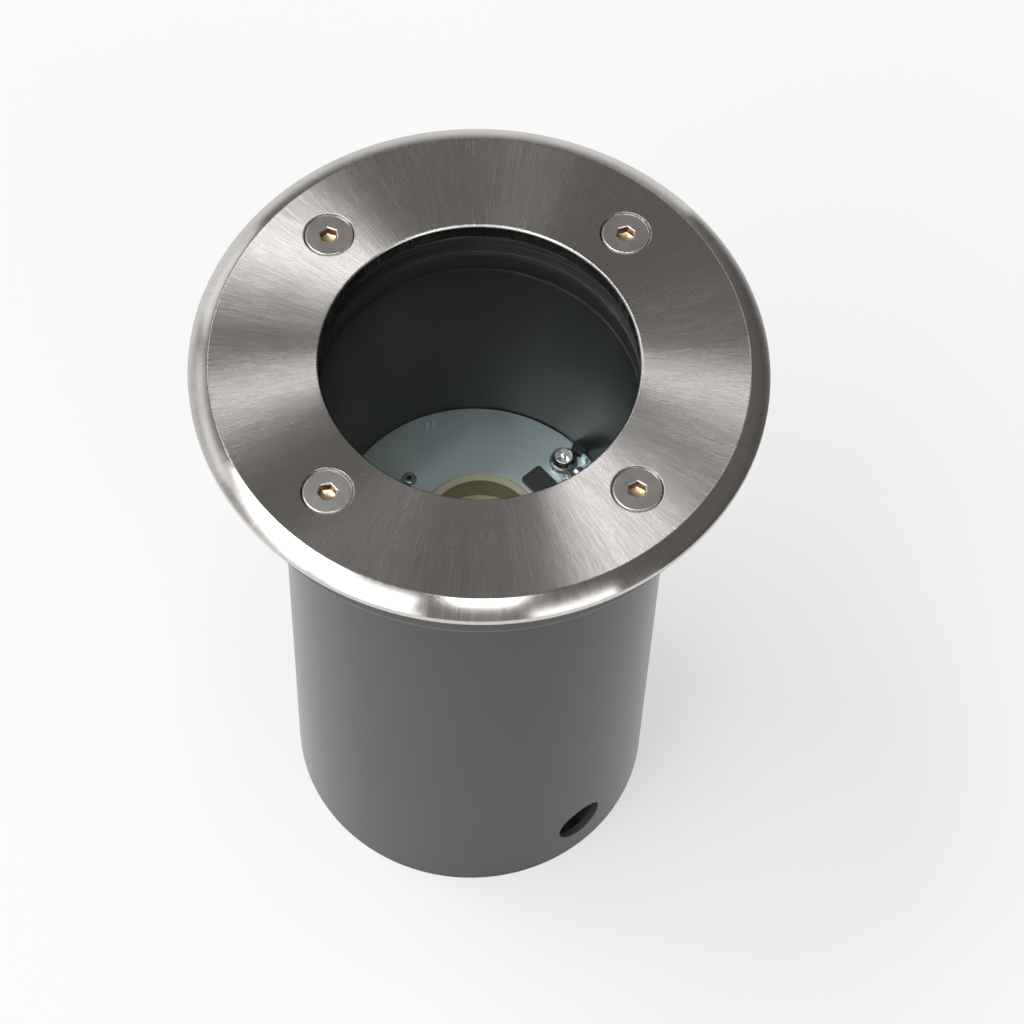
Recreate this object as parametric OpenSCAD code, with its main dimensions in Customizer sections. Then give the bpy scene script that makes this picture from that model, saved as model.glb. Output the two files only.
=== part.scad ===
// In-ground well light: a sleeve set in the ground, a sealed light unit that drops into it,
// and a bevelled steel cover ring held down by four countersunk socket screws.
// Millimetres, +Z up, origin at the centre of the sleeve's foot.

/* [Overall] */
// Height from the sleeve's foot to the top of the cover ring
total_h = 153; // [140:1:200]
// Outer diameter of the ground sleeve
sleeve_d = 77.3; // [76:0.1:96]
// Reach of the cover ring outside the sleeve's wall
ring_reach = 16.35; // [14:0.05:22]

/* [Ground sleeve] */
// Wall of the sleeve and its collar
sleeve_wall = 1.6; // [1.2:0.1:2]
// Drop of the collar's underside below the cover ring
collar_drop = 10.8; // [10:0.1:16]
// Gap between the collar's top edge and the cover ring
collar_gap = 0.4; // [0.3:0.1:1]
// Outside radius of the collar's lower corner
collar_corner_r = 2.4; // [2.1:0.1:3]
// Inside radius where the tube meets the collar
collar_neck_r = 1; // [0.6:0.1:1.2]
// Diameter of the cable hole
cable_hole_d = 11; // [8:0.5:16]
// Height of the cable hole above the foot
cable_hole_h = 12.3; // [9:0.1:25]
// Direction of the cable hole
cable_hole_angle = -52.5; // [-180:0.5:180]

/* [Cover ring] */
// Thickness of the ring
ring_t = 3.4; // [3.2:0.1:5]
// Overhang of the ring past the collar
ring_lip = 3.4; // [1:0.1:4]
// Width of the bevel seen from above
bevel_w = 3.7; // [1:0.1:4.5]
// Drop of the bevel at the ring's outer edge
bevel_drop = 1.95; // [1:0.05:2.5]
// Slope at which the crowned bevel starts
bevel_start = 12; // [2:1:20]
// Break on the ring's sharp edges
ring_edge = 0.3; // [0.1:0.05:0.5]
// Break on the edge of the ring's opening
opening_edge = 0.4; // [0.1:0.05:0.6]

/* [Cover screws] */
// Thread diameter of a cover screw
screw_d = 5; // [4:0.5:5]
// Length of a cover screw over its head
screw_len = 12; // [10:0.5:12]
// Head diameter of a cover screw
head_d = 9.3; // [8:0.1:10]
// Straight land on the rim of the head
head_land = 0.3; // [0.1:0.05:0.5]
// Distance across the flats of the hexagon socket
socket_af = 3.1; // [2:0.1:3.5]
// Depth of the hexagon socket
socket_depth = 2; // [1:0.1:2.4]
// Distance of the screw circle outside the sleeve's wall
screw_out = 1.75; // [1:0.05:3]

/* [Glass] */
// Thickness of the glass
glass_t = 8; // [5:0.5:10]
// Lap of the glass under the cover ring
glass_lap = 2.65; // [2:0.01:4]
// Thickness of the gasket's lips above and below the glass
gasket_lip = 1.3; // [0.8:0.1:2]
// Thickness of the gasket round the glass
gasket_side = 1.5; // [1:0.1:2]

/* [Housing] */
// Gap between the housing's neck and the sleeve
housing_gap = 0.55; // [0.4:0.05:1]
// Wall of the housing's neck round the gasket
neck_wall = 1.7; // [1.4:0.1:2]
// Wall of the housing's body
housing_wall = 2.6; // [2:0.1:3.5]
// Thickness of the housing's flange
flange_t = 3; // [2:0.1:4]
// Gap between the flange and the collar
flange_gap = 0.8; // [0.4:0.1:2]
// Radius of the boss under each cover screw
boss_r = 5.25; // [4.6:0.05:5.6]
// Height of the land below the glass seat
land_h = 5.5; // [3:0.1:8]
// Narrowing of the lamp chamber down to the plate
chamber_draft = 1.8; // [0.5:0.1:2]
// Thickness of the housing's floor
floor_t = 3; // [2.5:0.1:5]

/* [Lamp chamber] */
// Length of the lamp above the lampholder's rim
lamp_len = 53.5; // [45:0.5:60]
// Gap between the lamp and the glass
lamp_gap = 1.1; // [0.5:0.1:3]
// Thickness of the mounting plate
plate_t = 1.2; // [0.8:0.1:1.5]
// Direction of the earth screw
earth_angle = 40; // [35:1:45]

/* [Lampholder] */
// Diameter of the lampholder
holder_d = 26.6; // [26:0.1:27]
// Height of the lampholder
holder_h = 15; // [13:0.5:18]
// Offset of the lampholder from the light's axis
holder_x = 1.1; // [0:0.1:1.2]
// Width of the lampholder's rim
holder_rim = 2; // [1.5:0.1:2.5]
// Stand of the rim above the plate
rim_stand = 0.8; // [0.3:0.1:1]
// Depth of the recess inside the rim
recess_depth = 6; // [5:0.5:7]
// Distance between the two lamp pins
pin_pitch = 10; // [9.5:0.1:10.5]
// Radius of the hole that takes a lamp pin's head
pin_hole_r = 2.8; // [2.6:0.1:2.9]
// Direction of the strap's ears
strap_angle = 140; // [135:1:145]

/* [Wiring] */
// Outer diameter of an internal lead
lead_d = 2.2; // [1.8:0.1:2.4]
// Space between the lampholder and the terminal block
lead_room = 4.7; // [4.7:0.1:8]
// Distance between two poles of the terminal block
pole_pitch = 8; // [7.6:0.1:8.2]
// Width of the terminal block along its wires
block_w = 15; // [14:0.5:16]
// Height of the terminal block
block_h = 9; // [9:0.5:12]
// Distance of the terminal block's middle from the axis
block_y = 12.5; // [12:0.5:13]

/* [Cable gland] */
// Distance of the gland from the axis
gland_off = 13.5; // [13:0.5:14]
// Diameter of the gland's thread through the floor
gland_d = 16; // [14:0.5:16]
// Distance across the flats of the gland's hexagons
gland_af = 20; // [19:0.5:20]
// Length of the gland nut
nut_len = 13.2; // [13:0.1:16]
// Diameter of the cable that the seal takes
cable_d = 7.8; // [6:0.1:8]

/* [Hidden] */

// Facets of full circles, of small holes and of fillet arcs
$fn = 96;
small_fn = 36;
arc_n = 6;
// Overrun of every cut
over = 1;

// Radii from the sleeve inwards
sleeve_r = sleeve_d / 2;
sleeve_in_r = sleeve_r - sleeve_wall;
neck_r = sleeve_in_r - housing_gap;
seat_r = neck_r - neck_wall;
// Gap between the gasket and its seat in the housing
gasket_gap = 0.3;
gasket_r = seat_r - gasket_gap;
glass_r = gasket_r - gasket_side;
open_r = glass_r - glass_lap;
// Set-back of the glass seat's bore behind the ring's opening, and of the chamber behind that
land_set = 1.35;
land_step = 0.5;
land_r = open_r + land_set;
chamber_r = land_r - land_step;
plate_wall_r = chamber_r - chamber_draft;
// Gap round the plate, and the ledge that it rests on
plate_gap = 0.2;
plate_ledge = 1.7;
plate_r = plate_wall_r - plate_gap;
lower_r = plate_r - plate_ledge;

// Radii from the sleeve outwards
ring_r = sleeve_r + ring_reach;
collar_r = ring_r - ring_lip;
flat_r = ring_r - bevel_w;
flange_r = collar_r - sleeve_wall - flange_gap;
screw_circle_r = sleeve_r + screw_out;
screw_angles = [45, 135, 225, 315];

// Heights from the cover ring downwards
ring_under = total_h - ring_t;
glass_top = ring_under - gasket_lip;
glass_under = glass_top - glass_t;
seat_z = glass_under - gasket_lip;
land_z = seat_z - land_h;
rim_z = glass_under - lamp_gap - lamp_len;
plate_top = rim_z - rim_stand;
plate_under = plate_top - plate_t;
holder_under = rim_z - holder_h;
block_top = holder_under - lead_room;
floor_top = block_top - block_h;
floor_under = floor_top - floor_t;
collar_under = ring_under - collar_drop;
collar_floor = collar_under + sleeve_wall;
collar_top = ring_under - collar_gap;
neck_z = collar_under - collar_neck_r;

// Bevel of the cover ring: an arc whose chord has the bevel's width and drop
bevel_slope = atan2(bevel_drop, bevel_w);
bevel_end = 2 * bevel_slope - bevel_start;
bevel_arc_r = norm([bevel_w, bevel_drop]) / (2 * sin((bevel_end - bevel_start) / 2));

// Cover screws: clearance round the shank in the ring, in the thread, and round the head
shank_gap = 0.25;
thread_gap = 0.05;
head_gap = 0.3;
// Depth of the head below the ring's face, bevel on the tip, and turn of the socket
head_sink = 0.1;
tip_bevel = 0.5;
socket_turn = 30;
screw_r = screw_d / 2;
head_r = head_d / 2;
cone_h = head_r - screw_r;

// Housing: drop of the neck below the land, slopes of the body, and bevels
neck_drop = 3.5;
neck_cone = 2.5;
body_r = chamber_r + housing_wall;
plate_body_r = plate_wall_r + housing_wall;
lower_body_r = lower_r + housing_wall;
foot_bevel = 2;
seat_edge = 0.3;

// Plate screws: pan heads with a crossed recess, in pillars that stand on the housing's floor
pan_d = 3;
pan_head_r = 2.6;
pan_head_h = 1.9;
pan_crown_share = 0.7;
pan_bore = 9;
pan_tip_gap = 1;
pan_bore_gap = 0.05;
cross_len = 3.1;
cross_w = 0.7;
cross_depth = 1.1;
pillar_r = 3.6;
pillar_in = 3.3;
pillar_c = lower_r - pillar_in;
pan_hole_gap = 0.2;

// Key: a rib on the housing's wall that turns the plate to its place, and the plate's notch
key_turn = 0.8;
key_angle = earth_angle + key_turn;
key_r = 1.5;
key_in = 0.3;
key_gap = 0.3;
key_up = 1.2;
key_c = plate_wall_r - key_in;

// Plate: the pair of prongs bent up beside the edge, and the small tab bent up at the edge
prong_angle = 110;
prong_in = 3.2;
prong_h = 2.6;
prong_w = 0.55;
prong_pitch = 1.3;
tab_turn = -4.1;
tab_angle = earth_angle + tab_turn;
tab_in = 0.9;
tab_h = 1.5;
tab_w = 1.2;
holder_hole_gap = 0.15;

// Lampholder: flange under the plate, arc slots beside the pin holes, lead holes in the bottom
holder_r = holder_d / 2;
holder_flange_w = 1.1;
holder_flange_r = holder_r + holder_flange_w;
holder_flange_h = 3;
recess_r = holder_r - holder_rim;
recess_floor = rim_z - recess_depth;
pocket_h = 6;
pocket_under = recess_floor - pocket_h;
slot_w = 3.4;
slot_turn = 28;
lead_hole_gap = 0.4;
lead_r = lead_d / 2;
rim_edge = 0.5;

// Lamp contacts: split sleeves of spring strip in the pockets
contact_t = 0.5;
contact_gap = 0.15;
contact_h = 4.5;
contact_slot = 1.6;
contact_r = pin_hole_r - contact_gap;

// Strap under the lampholder's flange, and the tubular rivets through its ears
strap_t = 1;
strap_out = 2.1;
strap_r = holder_r + strap_out;
strap_gap = 0.2;
ear_w = 8;
ear_in = 0.5;
ear_len = 6;
rivet_out = 5.7;
rivet_r = holder_r + rivet_out;
rivet_shank_r = 1;
rivet_head_r = 1.6;
rivet_head_h = 0.7;
rivet_bore_r = 0.55;
rivet_gap = 0.05;
strap_top = plate_under - holder_flange_h;

// Grommet: a black block that lines the plate's window, laid square to the earth screw's direction,
// with its body clear of the lampholder's flange and its hole near one end
grommet_w = 5.1;
grommet_l = 9.4;
grommet_lip = 0.6;
grommet_up = 0.7;
grommet_down = 1.5;
grommet_fit = 0.05;
grommet_edge = 0.5;
grommet_body_w = grommet_w - 2 * (grommet_lip + grommet_fit);
grommet_body_l = grommet_l - 2 * (grommet_lip + grommet_fit);
grommet_flange_gap = 0.3;
grommet_n = holder_x * cos(earth_angle) + holder_flange_r + grommet_flange_gap + grommet_body_w / 2;
grommet_s = -1.8;
grommet_hole_turn = -3;
grommet_hole_s = grommet_s + grommet_hole_turn;
grommet_hole_gap = 0.3;

// Earth screw's washer and lug
washer_r = 2.9;
washer_t = 0.6;
washer_teeth = 10;
washer_notch = 0.5;
lug_t = 0.8;
lug_r = 3;
lug_reach = 8;
barrel_r = 1.6;
barrel_wall = 0.45;
barrel_len = 4.2;
lug_z = plate_top + lug_t;
washer_z = lug_z + washer_t;

// Terminal block: clamp tubes along the wires, two clamp screws to a pole, two fixings between
poles = [-1, 0, 1];
block_end = 3.8;
block_l = 2 * (pole_pitch + block_end);
clamp_r = 2.2;
clamp_wall = 0.75;
clamp_len = 12;
clamp_fit = 0.05;
clamp_screw_r = 1.25;
clamp_head_r = 1.5;
clamp_head_h = 1.2;
clamp_pitch = 7;
clamp_sink = 0.5;
clamp_slot = 0.5;
wire_up = 4.2;
wire_z = floor_top + wire_up;
fixing_r = 1;
fixing_head_r = 1.7;
fixing_head_h = 1.4;
fixing_depth = 2;
fixing_gap = 0.1;
block_edge = 0.6;

// Leads: gap below the lamp contacts, height over the block, and the turn behind it
lead_end_gap = 0.3;
lead_over = 2;
lead_z = block_top + lead_over;
turn_r = (lead_z - wire_z) / 2;
turn_out = 1;
turn_y = block_y + block_w / 2 + turn_out;
turn_steps = 4;
lead_steps = 2;
lead_sides = 8;

// Cable gland
gland_r = gland_d / 2;
gland_bore_r = 4.6;
gland_hex_h = 5;
gland_gap = 0.05;
gland_thread_r = 7.2;
gland_thread_h = 9;
locknut_h = 4;
locknut_up = 0.5;
gland_washer_t = 1.5;
gland_washer_r = 10.2;
seal_r = 5.7;
seal_gap = 0.1;
seal_h = 8.5;
seal_out = 1.5;
nut_gap = 0.3;
nut_cavity_gap = 0.4;
hex_bevel = 1;
dome_h = 4;
gland_hex_top = floor_under - gland_washer_t;
gland_hex_under = gland_hex_top - gland_hex_h;
gland_under = gland_hex_under - gland_thread_h;
nut_top = gland_hex_under - nut_gap;
nut_under = nut_top - nut_len;
seal_under = gland_under - seal_out;

steel = [0.72, 0.71, 0.69];
sleeve_grey = [0.5, 0.5, 0.48];
black = [0.07, 0.07, 0.08];
zinc = [0.58, 0.65, 0.66];
cream = [0.76, 0.73, 0.6];
brass = [0.78, 0.62, 0.3];

// Points of an arc about a centre, from one angle to another
function arc(c, r, from, to, n = arc_n) =
    [for (i = [0:n]) c + r * [cos(from + (to - from) * i / n), sin(from + (to - from) * i / n)]];

function turned(p, a) = [p.x * cos(a) - p.y * sin(a), p.x * sin(a) + p.y * cos(a), p.z];

// A hexagonal prism by the distance across its flats
module hex_bar(af, h) {
    cylinder(r = af / sqrt(3), h = h, $fn = 6);
}

module at_polar(angle, r, z = 0) {
    rotate(angle) translate([r, 0, z]) children();
}

module tube(outer, inner, h) {
    difference() {
        cylinder(r = outer, h = h);
        translate([0, 0, -over]) cylinder(r = inner, h = h + 2 * over);
    }
}

module ground_sleeve() {
    color(sleeve_grey) difference() {
        tube(sleeve_r, sleeve_in_r, neck_z);
        at_polar(cable_hole_angle, sleeve_in_r - over, cable_hole_h)
            rotate([0, 90, 0]) cylinder(d = cable_hole_d, h = sleeve_wall + 2 * over);
    }
}

// Spun collar, welded to the top edge of the tube
module sleeve_collar() {
    corner = [collar_r - collar_corner_r, collar_under + collar_corner_r];
    neck = [sleeve_r + collar_neck_r, neck_z];
    color(sleeve_grey) rotate_extrude() polygon(concat(
        arc(neck, collar_neck_r, 180, 90),
        arc(corner, collar_corner_r, -90, 0),
        [[collar_r, collar_top], [collar_r - sleeve_wall, collar_top]],
        arc(corner, collar_corner_r - sleeve_wall, 0, -90),
        arc(neck, collar_neck_r + sleeve_wall, 90, 180)));
}

// Half section of the housing, from its mouth down the outside and up the inside
module housing_section() {
    polygon([
        [seat_r, ring_under], [flange_r, ring_under],
        [flange_r, ring_under - flange_t], [neck_r, ring_under - flange_t],
        [neck_r, land_z - neck_drop], [body_r, land_z - neck_drop - neck_cone],
        [plate_body_r, plate_under], [lower_body_r, plate_under - neck_cone],
        [lower_body_r, floor_under + foot_bevel], [lower_body_r - foot_bevel, floor_under],
        [0, floor_under], [0, floor_top], [lower_r, floor_top], [lower_r, plate_under],
        [plate_wall_r, plate_under], [chamber_r, land_z], [land_r, land_z],
        [land_r, seat_z - seat_edge], [land_r + seat_edge, seat_z], [seat_r, seat_z]]);
}

module housing() {
    boss_h = ring_under - collar_floor;
    pillar_foot = floor_top - floor_t / 2;
    color(black) difference() {
        union() {
            rotate_extrude() housing_section();
            for (a = screw_angles)
                at_polar(a, screw_circle_r, collar_floor) cylinder(r = boss_r, h = boss_h);
            for (a = [earth_angle, earth_angle + 180])
                at_polar(a, pillar_c, pillar_foot) cylinder(r = pillar_r, h = plate_under - pillar_foot);
            at_polar(key_angle, key_c, plate_under - key_up)
                cylinder(r = key_r, h = plate_t + 2 * key_up);
        }
        // Glass seat, cleared of the bosses
        translate([0, 0, seat_z]) cylinder(r = seat_r, h = ring_under - seat_z + over);
        for (a = screw_angles) at_polar(a, screw_circle_r, collar_floor - over)
            cylinder(r = screw_r + thread_gap, h = boss_h + 2 * over, $fn = small_fn);
        for (a = [earth_angle, earth_angle + 180]) at_polar(a, pillar_c, plate_under - pan_bore)
            cylinder(r = pan_d / 2 + pan_bore_gap, h = pan_bore + over, $fn = small_fn);
        translate([0, -gland_off, floor_under - over])
            cylinder(r = gland_r + gland_gap, h = floor_t + 2 * over);
        for (s = [-1, 1]) translate([s * pole_pitch / 2, block_y, floor_top - fixing_depth])
            cylinder(r = fixing_r + pan_bore_gap, h = fixing_depth + over, $fn = small_fn);
    }
}

module cover_ring() {
    crown = [flat_r - bevel_arc_r * sin(bevel_start), total_h - bevel_arc_r * cos(bevel_start)];
    sink_r = head_r + head_gap;
    hole_r = screw_r + shank_gap;
    color(steel) difference() {
        rotate_extrude() polygon(concat(
            [[open_r + opening_edge, total_h]],
            arc(crown, bevel_arc_r, 90 - bevel_start, 90 - bevel_end, 2 * arc_n),
            [[ring_r, ring_under + ring_edge], [ring_r - ring_edge, ring_under],
             [open_r, ring_under], [open_r, total_h - opening_edge]]));
        for (a = screw_angles) at_polar(a, screw_circle_r) {
            translate([0, 0, ring_under - over])
                cylinder(r = hole_r, h = ring_t + 2 * over, $fn = small_fn);
            translate([0, 0, total_h - head_sink - head_land - (sink_r - hole_r)])
                cylinder(r1 = hole_r, r2 = sink_r, h = sink_r - hole_r);
            translate([0, 0, total_h - head_sink - head_land])
                cylinder(r = sink_r, h = head_sink + head_land + over);
        }
    }
}

module cover_screw(angle) {
    head_top = total_h - head_sink;
    color(steel) at_polar(angle, screw_circle_r) difference() {
        rotate_extrude() polygon([
            [0, head_top], [head_r - head_land / 2, head_top], [head_r, head_top - head_land / 2],
            [head_r, head_top - head_land], [screw_r, head_top - head_land - cone_h],
            [screw_r, head_top - screw_len + tip_bevel], [screw_r - tip_bevel, head_top - screw_len],
            [0, head_top - screw_len]]);
        translate([0, 0, head_top - socket_depth]) rotate(socket_turn - angle)
            hex_bar(socket_af, socket_depth + over);
    }
}

module glass() {
    color([0.75, 0.85, 0.85, 0.4]) translate([0, 0, glass_under]) cylinder(r = glass_r, h = glass_t);
}

// One ring of U section that wraps the glass's edge
module glass_gasket() {
    lip_r = open_r + land_set / 2;
    color(black) rotate_extrude() polygon([
        [lip_r, ring_under], [gasket_r, ring_under], [gasket_r, seat_z], [lip_r, seat_z],
        [lip_r, glass_under], [glass_r, glass_under], [glass_r, glass_top], [lip_r, glass_top]]);
}

module mounting_plate() {
    window = [grommet_w - 2 * grommet_lip, grommet_l - 2 * grommet_lip, plate_t + 2 * over];
    color(zinc) difference() {
        union() {
            translate([0, 0, plate_under]) cylinder(r = plate_r, h = plate_t);
            for (s = [-1, 1]) rotate(prong_angle)
                translate([plate_r - prong_in, s * prong_pitch / 2 - prong_w / 2, plate_under])
                    cube([prong_w, prong_w, plate_t + prong_h]);
            at_polar(tab_angle, plate_r - tab_in, plate_under)
                translate([-prong_w / 2, -tab_w / 2, 0]) cube([prong_w, tab_w, plate_t + tab_h]);
        }
        translate([holder_x, 0, plate_under - over])
            cylinder(r = holder_r + holder_hole_gap, h = plate_t + 2 * over);
        for (a = [earth_angle, earth_angle + 180]) at_polar(a, pillar_c, plate_under - over)
            cylinder(r = pan_d / 2 + pan_hole_gap, h = plate_t + 2 * over, $fn = small_fn);
        at_polar(key_angle, key_c, plate_under - over)
            cylinder(r = key_r + key_gap, h = plate_t + 2 * over);
        for (a = [strap_angle, strap_angle + 180])
            translate([holder_x, 0, plate_under - over]) at_polar(a, rivet_r)
                cylinder(r = rivet_shank_r + rivet_gap, h = plate_t + 2 * over, $fn = small_fn);
        rotate(earth_angle) translate([grommet_n, grommet_s, plate_under + plate_t / 2])
            cube(window, center = true);
    }
}

module lampholder() {
    color(cream) translate([holder_x, 0, 0]) difference() {
        rotate_extrude() polygon([
            [0, holder_under], [holder_r, holder_under], [holder_r, strap_top],
            [holder_flange_r, strap_top], [holder_flange_r, plate_under], [holder_r, plate_under],
            [holder_r, rim_z - rim_edge], [holder_r - rim_edge, rim_z], [recess_r, rim_z],
            [recess_r, recess_floor], [0, recess_floor]]);
        for (s = [0, 180]) rotate(s) {
            translate([pin_pitch / 2, 0, pocket_under])
                cylinder(r = pin_hole_r, h = pocket_h + over, $fn = small_fn);
            translate([0, 0, recess_floor - pocket_h / 2]) rotate_extrude(angle = slot_turn)
                translate([pin_pitch / 2 - slot_w / 2, 0]) square([slot_w, pocket_h / 2 + over]);
            translate([pin_pitch / 2, 0, holder_under - over]) cylinder(
                r = lead_r + lead_hole_gap, h = pocket_under - holder_under + 2 * over, $fn = small_fn);
        }
    }
}

module lamp_contacts() {
    color(brass) for (s = [0, 180]) translate([holder_x, 0, 0]) rotate(s)
        translate([pin_pitch / 2, 0, pocket_under]) difference() {
            cylinder(r = contact_r, h = contact_h, $fn = small_fn);
            translate([0, 0, contact_t]) cylinder(r = contact_r - contact_t, h = contact_h, $fn = small_fn);
            translate([0, -contact_slot / 2, contact_t]) cube([contact_r + over, contact_slot, contact_h]);
        }
}

module lampholder_strap() {
    ear_r = holder_flange_r + ear_in;
    color(zinc) translate([holder_x, 0, 0]) difference() {
        union() {
            translate([0, 0, strap_top - strap_t]) cylinder(r = strap_r, h = strap_t);
            for (a = [strap_angle, strap_angle + 180]) rotate(a) {
                translate([holder_r, -ear_w / 2, strap_top - strap_t])
                    cube([ear_r - holder_r + strap_t, ear_w, strap_t]);
                translate([ear_r, -ear_w / 2, strap_top - strap_t])
                    cube([strap_t, ear_w, plate_under - strap_top + strap_t]);
                translate([ear_r, -ear_w / 2, plate_under - strap_t]) cube([ear_len, ear_w, strap_t]);
            }
        }
        translate([0, 0, strap_top - strap_t - over])
            cylinder(r = holder_r + strap_gap, h = strap_t + 2 * over);
        for (a = [strap_angle, strap_angle + 180]) at_polar(a, rivet_r, plate_under - strap_t - over)
            cylinder(r = rivet_shank_r + rivet_gap, h = strap_t + 2 * over, $fn = small_fn);
    }
}

module holder_rivets() {
    grip = plate_t + strap_t;
    color(zinc) for (a = [strap_angle, strap_angle + 180]) translate([holder_x, 0, 0])
        at_polar(a, rivet_r, plate_top) difference() {
            union() {
                cylinder(r1 = rivet_head_r, r2 = rivet_head_r - rivet_head_h / 2, h = rivet_head_h,
                    $fn = small_fn);
                translate([0, 0, -grip]) cylinder(r = rivet_shank_r, h = grip, $fn = small_fn);
                translate([0, 0, -grip - rivet_head_h])
                    cylinder(r = rivet_head_r, h = rivet_head_h, $fn = small_fn);
            }
            translate([0, 0, -grip - rivet_head_h - over])
                cylinder(r = rivet_bore_r, h = grip + 2 * (rivet_head_h + over), $fn = small_fn);
        }
}

module lead_grommet() {
    body_h = plate_t + grommet_down;
    color(black) rotate(earth_angle) difference() {
        union() {
            translate([grommet_n - grommet_w / 2, grommet_s - grommet_l / 2, plate_top])
                linear_extrude(grommet_up) polygon([
                    [grommet_edge, 0], [grommet_w - grommet_edge, 0], [grommet_w, grommet_edge],
                    [grommet_w, grommet_l - grommet_edge], [grommet_w - grommet_edge, grommet_l],
                    [grommet_edge, grommet_l], [0, grommet_l - grommet_edge], [0, grommet_edge]]);
            translate([grommet_n - grommet_body_w / 2, grommet_s - grommet_body_l / 2, plate_top - body_h])
                cube([grommet_body_w, grommet_body_l, body_h]);
        }
        translate([grommet_n, grommet_hole_s, plate_top - body_h - over]) cylinder(
            r = lead_r + grommet_hole_gap, h = body_h + grommet_up + 2 * over, $fn = small_fn);
    }
}

// A pan head screw whose head rests at a height, with its shank going down into a pillar
module pan_screw(angle, under) {
    len = under - plate_under + pan_bore - pan_tip_gap;
    color(steel) at_polar(angle, pillar_c, under) difference() {
        union() {
            cylinder(r = pan_head_r, h = pan_head_h / 2, $fn = small_fn);
            translate([0, 0, pan_head_h / 2]) cylinder(
                r1 = pan_head_r, r2 = pan_head_r * pan_crown_share, h = pan_head_h / 2, $fn = small_fn);
            translate([0, 0, -len]) cylinder(d = pan_d, h = len, $fn = small_fn);
        }
        for (a = [0, 90]) rotate(a) translate([-cross_len / 2, -cross_w / 2, pan_head_h - cross_depth])
            cube([cross_len, cross_w, cross_depth + over]);
    }
}

module earth_washer() {
    color(zinc) at_polar(earth_angle, pillar_c, lug_z) difference() {
        cylinder(r = washer_r, h = washer_t, $fn = small_fn);
        translate([0, 0, -over])
            cylinder(r = pan_d / 2 + pan_hole_gap, h = washer_t + 2 * over, $fn = small_fn);
        for (i = [0:washer_teeth - 1]) rotate(i * 360 / washer_teeth)
            translate([washer_r - washer_notch, -washer_notch / 2, -over])
                cube([washer_notch + over, washer_notch, washer_t + 2 * over]);
    }
}

// Ring lug under the washer, with its crimp barrel along the plate
module earth_lug() {
    color(brass) at_polar(earth_angle, pillar_c, plate_top) difference() {
        union() {
            cylinder(r = lug_r, h = lug_t, $fn = small_fn);
            translate([-barrel_r, -lug_reach, 0]) cube([2 * barrel_r, lug_reach, lug_t]);
            translate([0, barrel_len - lug_reach, barrel_r]) rotate([90, 0, 0])
                cylinder(r = barrel_r, h = barrel_len, $fn = small_fn);
        }
        translate([0, 0, -over])
            cylinder(r = pan_d / 2 + pan_hole_gap, h = lug_t + 2 * over, $fn = small_fn);
        translate([0, barrel_len - lug_reach + over, barrel_r]) rotate([90, 0, 0])
            cylinder(r = barrel_r - barrel_wall, h = barrel_len + 2 * over, $fn = small_fn);
    }
}

module terminal_block() {
    color(black) translate([0, block_y, floor_top]) difference() {
        translate([-block_l / 2, -block_w / 2, 0]) difference() {
            cube([block_l, block_w, block_h]);
            for (y = [0, block_w]) translate([block_l / 2, y, block_h]) rotate([45, 0, 0])
                cube([block_l + 2 * over, block_edge, block_edge], center = true);
        }
        for (p = poles) translate([p * pole_pitch, 0, 0]) {
            translate([0, block_w / 2 + over, wire_up]) rotate([90, 0, 0])
                cylinder(r = clamp_r + clamp_fit, h = block_w + 2 * over, $fn = small_fn);
            for (s = [-1, 1]) translate([0, s * clamp_pitch / 2, wire_up])
                cylinder(r = clamp_head_r + fixing_gap, h = block_h, $fn = small_fn);
        }
        for (s = [-1, 1]) translate([s * pole_pitch / 2, 0, 0]) {
            translate([0, 0, -over])
                cylinder(r = fixing_r + fixing_gap, h = block_h + 2 * over, $fn = small_fn);
            translate([0, 0, block_h - fixing_head_h])
                cylinder(r = fixing_head_r + fixing_gap, h = fixing_head_h + over, $fn = small_fn);
        }
    }
}

module terminal_clamps() {
    color(brass) for (p = poles) translate([p * pole_pitch, block_y, wire_z]) difference() {
        rotate([90, 0, 0]) cylinder(r = clamp_r, h = clamp_len, center = true, $fn = small_fn);
        rotate([90, 0, 0])
            cylinder(r = clamp_r - clamp_wall, h = clamp_len + 2 * over, center = true, $fn = small_fn);
        for (s = [-1, 1]) translate([0, s * clamp_pitch / 2, 0])
            cylinder(r = clamp_screw_r + clamp_fit, h = clamp_r + over, $fn = small_fn);
    }
}

// A cheese head screw of a length over all, standing on its tip
module slotted_screw(shank_r, top_r, top_h, len) {
    color(steel) difference() {
        union() {
            cylinder(r = shank_r, h = len, $fn = small_fn);
            translate([0, 0, len - top_h]) cylinder(r = top_r, h = top_h, $fn = small_fn);
        }
        translate([-top_r - over, -clamp_slot / 2, len - clamp_slot])
            cube([2 * (top_r + over), clamp_slot, clamp_slot + over]);
    }
}

module terminal_screws() {
    tip = wire_z + lead_r + fixing_gap;
    for (p = poles, s = [-1, 1]) translate([p * pole_pitch, block_y + s * clamp_pitch / 2, tip])
        slotted_screw(clamp_screw_r, clamp_head_r, clamp_head_h, block_top - clamp_sink - tip);
}

module terminal_fixings() {
    tip = floor_top - fixing_depth + fixing_gap;
    for (s = [-1, 1]) translate([s * pole_pitch / 2, block_y, tip])
        slotted_screw(fixing_r, fixing_head_r, fixing_head_h, block_top - tip);
}

function unit(v) = v / norm(v);

// A smooth curve through the points of a route
function bend(a, b, c, d, t) = 0.5 * (2 * b + (c - a) * t + (2 * a - 5 * b + 4 * c - d) * t * t
    + (3 * b - a - 3 * c + d) * t * t * t);

function smooth(p) = let (m = len(p) - 1) concat(
    [for (i = [0:m - 1], j = [0:lead_steps - 1])
        bend(p[max(i - 1, 0)], p[i], p[i + 1], p[min(i + 2, m)], j / lead_steps)], [p[m]]);

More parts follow.
